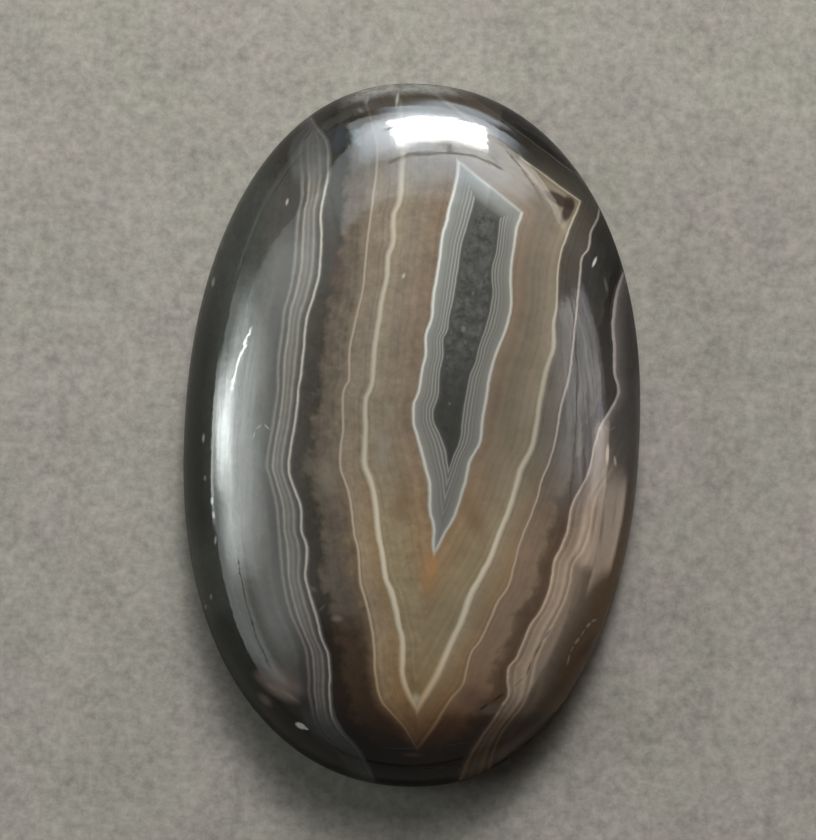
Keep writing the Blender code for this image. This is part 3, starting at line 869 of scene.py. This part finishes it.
def card_material(name, colour, strength, fades, ragged, dark, streaks):
    """An even glow that fades out towards the card's left, right, low and high edges.

    Streaks along the card's width vary the glow by that share. A dark card has no glow and holds back that
    share of the light behind it.
    """
    material, nodes = blank_material(name)
    place = nodes.add("ShaderNodeTexCoord").outputs["UV"]
    u, v, _ = nodes.add("ShaderNodeSeparateXYZ", {0: place}).outputs
    if ragged:
        edge = nodes.noise(place, 9.0, 4.0, 0.7, output="Color")
        shift = nodes.add("ShaderNodeSeparateXYZ", {0: edge}).outputs
        u = nodes.plus(u, nodes.math("MULTIPLY_ADD", shift[0], 2.0 * ragged, -ragged))
        v = nodes.plus(v, nodes.math("MULTIPLY_ADD", shift[1], 2.0 * ragged, -ragged))
    left, right, low, high = fades
    glow = nodes.between(u, 0.0, left, smooth=True)
    glow = nodes.times(glow, nodes.between(u, 1.0 - right, 1.0, 1.0, 0.0, smooth=True))
    glow = nodes.times(glow, nodes.between(v, 0.0, low, smooth=True))
    glow = nodes.times(glow, nodes.between(v, 1.0 - high, 1.0, 1.0, 0.0, smooth=True))
    if streaks:
        drawn_out = nodes.place(nodes.times(u, 2.2), nodes.times(v, 17.0))
        smear = nodes.noise(drawn_out, 1.0, 5.0, 0.65)
        glow = nodes.times(glow, nodes.between(smear, 0.32, 0.68, 1.0 - streaks, 1.0 + streaks))
    clear = nodes.add("ShaderNodeBsdfTransparent")
    if dark:
        tint = nodes.between(glow, 0.0, 1.0, 1.0, 1.0 - dark)
        nodes.feed(clear.inputs[0], nodes.place(tint, tint, tint))
        nodes.cover(clear)
        return material
    emission = nodes.add("ShaderNodeEmission", {"Color": colour, "Strength": nodes.times(glow, strength)})
    both = nodes.add("ShaderNodeAddShader", {0: emission.outputs[0], 1: clear.outputs[0]})
    nodes.cover(both)
    return material


def card(
    name, corners, fades, colour=PLAIN, strength=0.0, distance=0.4, ragged=0.0, streaks=0.0, dark=0.0, flat=0.0,
):
    """A soft light card that only the polish mirrors.

    Its corners are low left, low right, high right and high left: azimuth and elevation from the stone,
    or for a flat card, which lies this many mm over the floor, millimetres across and along the stone.
    """
    shape = bmesh.new()
    uv = shape.loops.layers.uv.new("UVMap")
    bmesh.ops.create_grid(shape, x_segments=CARD_CELLS, y_segments=CARD_CELLS, size=0.5)
    low_left, low_right, high_right, high_left = corners
    share_of = {}
    for vert in shape.verts:
        u, v = vert.co.x + 0.5, vert.co.y + 0.5
        share_of[vert] = (u, v)
        first, second = (
            (1 - v) * ((1 - u) * low_left[axis] + u * low_right[axis])
            + v * ((1 - u) * high_left[axis] + u * high_right[axis])
            for axis in (0, 1)
        )
        vert.co = (first * MM, second * MM, flat * MM) if flat else distance * picture_direction(first, second)
    for face in shape.faces:
        for loop in face.loops:
            loop[uv].uv = share_of[loop.vert]
    mesh = made_mesh(name, shape)
    mesh.materials.append(card_material(name, colour, strength, fades, ragged, dark, streaks))
    panel = placed(name, mesh)
    for rays in ("camera", "diffuse", "shadow", "transmission"):
        setattr(panel, "visible_" + rays, False)


def bar(name, corners, fades, dark, distance=0.38, ragged=0.0, flat=0.0):
    """A dark card: it only holds back this share of the light behind it."""
    card(name, corners, fades, distance=distance, ragged=ragged, dark=dark, flat=flat)


def soft_light(name, azimuth, elevation, size, power_w, colour):
    """A lamp for the even light and the shadow. The polish mirrors only the cards."""
    lamp = bpy.data.lights.new(name, "AREA")
    lamp.shape = "RECTANGLE"
    lamp.size, lamp.size_y = size
    lamp.energy = power_w
    lamp.color = colour
    light = placed(name, lamp)
    towards = picture_direction(azimuth, elevation)
    light.location = LAMP_DISTANCE * towards
    light.rotation_euler = towards.to_track_quat("Z", "Y").to_euler()
    light.visible_glossy = False
    light.visible_camera = False


def floor_material():
    material, nodes = blank_material("pale card")
    place = nodes.add("ShaderNodeTexCoord").outputs["Object"]
    blotch = nodes.noise(place, 260.0, 4.0, 0.65)
    fibre = nodes.noise(place, 1500.0, 4.0, 0.7)
    gain = nodes.plus(nodes.varied(blotch, 0.89, 1.11), nodes.varied(fibre, -0.24, 0.24))
    patch = nodes.between(nodes.noise(place, 110.0, 3.0, 0.6), 0.4, 0.6)
    colour = nodes.mix(patch, CARD_GREY, CARD_WARM_GREY)
    colour = nodes.tinted(colour, nodes.grey(gain))
    look = {"Base Color": colour, "Roughness": 0.85, "Specular IOR Level": 0.15}
    surface = nodes.add("ShaderNodeBsdfPrincipled", look)
    nodes.cover(surface)
    return material


def studio_air():
    """What is seen past the floor: a pale backdrop to the eye, a dim room in the polish, next to no light."""
    world = bpy.data.worlds.new("studio air")
    world.use_nodes = True
    nodes = Nodes(world.node_tree)
    background = world.node_tree.nodes["Background"]
    background.inputs["Color"].default_value = (1.0, 0.98, 0.94, 1.0)
    ray = nodes.add("ShaderNodeLightPath").outputs
    strength = nodes.math("MULTIPLY_ADD", ray["Is Camera Ray"], 0.42, 0.01)
    strength = nodes.math("MULTIPLY_ADD", ray["Is Glossy Ray"], 0.14, strength)
    nodes.feed(background.inputs["Strength"], strength)
    bpy.context.scene.world = world


def studio():
    shape = bmesh.new()
    bmesh.ops.create_grid(shape, x_segments=1, y_segments=1, size=FLOOR_HALF)
    mesh = made_mesh("floor", shape)
    mesh.materials.append(floor_material())
    floor = placed("floor", mesh)
    floor.location.z = FLOOR_TOP
    studio_air()

    for lamp in LAMPS:
        soft_light(*lamp)
    window_cards()
    side_cards()
    dark_bars()
    floor_cards()


def window_cards():
    """The window beyond the top of the picture, and the glow round it."""
    card("window", [(-9, 14), (23.5, 5), (26.3, 24.5), (-5, 32.5)], (0.05, 0.04, 0.1, 0.3), PLAIN, 26.0,
         ragged=0.07)
    card("window glow", [(-18, 5), (36, -2), (38, 43), (-18, 46)], (0.35, 0.3, 0.35, 0.6), PLAIN, 4.8, 0.405)
    card("bright cloud", [(-25, 11), (9, 9), (9, 37), (-27, 38)], (0.3, 0.3, 0.15, 0.3), BLUE, 4.6, 0.402, 0.1)
    card("glow beside it", [(27, 8), (47, 13), (46, 32), (27, 38)], (0.35, 0.35, 0.25, 0.3), PLAIN, 2.4, 0.402,
         0.06)
    card("upper glow", [(-14, 34), (42, 19), (46, 44), (-14, 48)], (0.35, 0.3, 0.3, 0.35), SKY, 1.8, 0.403)
    card("low glow", [(-14, 0), (40, 0), (40, 10), (-12, 15)], (0.3, 0.35, 0.01, 0.25), BLUE, 6.0, 0.404, 0.04)
    card("window haze", [(-24, 3), (62, 14), (54, 54), (-22, 30)], (0.03, 0.38, 0.12, 0.4), COOL_BLUE, 2.8,
         0.41, streaks=0.15)
    card("upper haze", [(-44, 31), (30, -5), (40, 50), (-39, 50.5)], (0.1, 0.5, 0.05, 0.09), PALE_SKY, 1.6,
         0.42, 0.03)
    card("upper left haze", [(-64, 0), (-16, 0), (-24, 24), (-62, 36)], (0.3, 0.3, 0.01, 0.3), COOL_BLUE, 0.4,
         0.425, streaks=0.3)
    card("window sill", [(34, 8), (62, 11), (62, 17.5), (36, 16)], (0.1, 0.45, 0.12, 0.2), CREAM_WHITE, 3.0,
         0.42)


def side_cards():
    """The pale room to the left and the warmer one to the right."""
    card("left glow", [(-130, 0), (-66, 0), (-62, 24), (-146, 20)], (0.2, 0.12, 0.02, 0.3), COOL, 1.5, 0.42,
         streaks=0.3)
    card("left haze", [(-146, 12), (-56, 12), (-40, 60), (-140, 58)], (0.25, 0.1, 0.4, 0.55), COOL, 1.65, 0.41,
         0.0, 0.18)
    card("haze at the upper left", [(-72, 13), (-36, 32), (-38, 60), (-72, 50)], (0.25, 0.06, 0.05, 0.6),
         COOL_BLUE, 1.0, 0.415, 0.01)
    card("left pool", [(-112, 1), (-67, 6), (-63, 42), (-116, 42)], (0.32, 0.35, 0.3, 0.6), COOL, 5.6, 0.43,
         0.06, 0.35)
    card("left window", [(-96, -3), (-77, -3), (-78, 21), (-98, 21)], (0.48, 0.48, 0.45, 0.55), COOL, 13.0,
         0.44, 0.08, 0.7)
    card("left gap", [(-84.5, 13.4), (-82.5, 13.4), (-73, 22.5), (-74.5, 22.5)], (0.3, 0.3, 0.1, 0.1), PLAIN,
         24.0, 0.39)
    card("right haze", [(68, 14), (102, -3), (106, 46), (68, 46)], (0.12, 0.3, 0.14, 0.5), PINK_WHITE, 2.15,
         0.42, 0.03, 0.75)
    card("right card", [(109.5, -3), (90, -2), (91, 17), (109.5, 24)], (0.14, 0.06, 0.2, 0.3), WARM_CARD, 2.6,
         0.41, 0.02, 0.75)
    card("right shelf", [(143, 8), (107, 9), (107, 33), (143, 31)], (0.2, 0.1, 0.2, 0.3), WARM_CARD, 1.2, 0.41)


def dark_bars():
    """What stands before the window and the walls."""
    bar("smudge on the window", [(8, 25), (13.5, 24.4), (14.5, 33), (9.5, 34)], (0.45, 0.45, 0.4, 0.4), 0.45,
        0.37, 0.2)
    bar("slit in the window", [(-9.5, 19.5), (-2, 18.2), (-2, 19.6), (-9.5, 21)], (0.1, 0.5, 0.3, 0.3), 0.85,
        0.37, 0.05)
    bar("beam over the window", [(-9, 36.6), (33, 24.8), (33, 26.4), (-9, 38.6)], (0.05, 0.03, 0.3, 0.3), 0.85,
        ragged=0.02)
    bar("beam on the right", [(30, 13.2), (62, 24.2), (62, 26), (30, 14.8)], (0.1, 0.01, 0.3, 0.3), 0.9)
    bar("beam further right", [(62, 24.2), (104, 28.4), (104, 30), (62, 26)], (0.01, 0.2, 0.3, 0.3), 0.85)
    bar("beam on the left", [(-131, 12), (-104, 16.4), (-104, 17.8), (-131, 13.2)], (0.1, 0.1, 0.3, 0.3), 0.85)


def floor_cards():
    """What the floor gives back to the lower part of the polish, in mm across and along the stone."""
    bar("dim floor", [(-600, -600), (600, -600), (600, 600), (-600, 600)], (0.1, 0.1, 0.1, 0.1), 0.5, flat=0.08)
    bar("dim floor at the upper right", [(12, 3), (130, 0), (90, 150), (8, 24)], (0.02, 0.1, 0.1, 0.1), 0.55,
        flat=0.12)
    card("bright sill", [(-1, 31), (15, 31), (330, 700), (-90, 700)], (0.3, 0.3, 0.015, 0.05), BLUE, 3.4,
         flat=0.16)
    card("glow at the upper left", [(-120, 20), (-1, 26), (-1, 120), (-120, 120)], (0.1, 0.1, 0.1, 0.1), COOL,
         0.3, flat=0.2)
    card("glow on the left", [(-600, -150), (-88, -24), (-88, 17), (-600, 110)], (0.1, 0.03, 0.4, 0.35), COOL,
         5.4, flat=0.16)
    card("rose glow", [(16.6, -9.4), (300, -118), (300, 0), (16.6, -1.5)], (0.01, 0.1, 0.22, 0.3), ROSE, 1.9,
         flat=0.16)
    bar("dim floor at the lower right", [(1, -60), (70, -50), (30, -13), (13, -14.5)], (0.2, 0.2, 0.2, 0.12),
        0.35, flat=0.13)


def add_camera():
    lens = bpy.data.cameras.new("camera")
    lens.sensor_fit = "HORIZONTAL"
    lens.sensor_width = SENSOR_WIDTH
    lens.lens = FOCAL_LENGTH
    lens.clip_start = 0.01
    camera = placed("camera", lens)
    camera.location = CAMERA_PLACE
    camera.rotation_euler = (0.0, 0.0, PICTURE_TURN)
    bpy.context.scene.camera = camera


def main():
    stone = placed("banded_cabochon", stone_mesh("banded_cabochon"))
    stone.data.materials.append(agate_material())
    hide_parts("agate_cabochon")
    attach(stone, "root")
    studio()
    add_camera()
    bpy.context.scene.view_settings.view_transform = "Standard"


main()
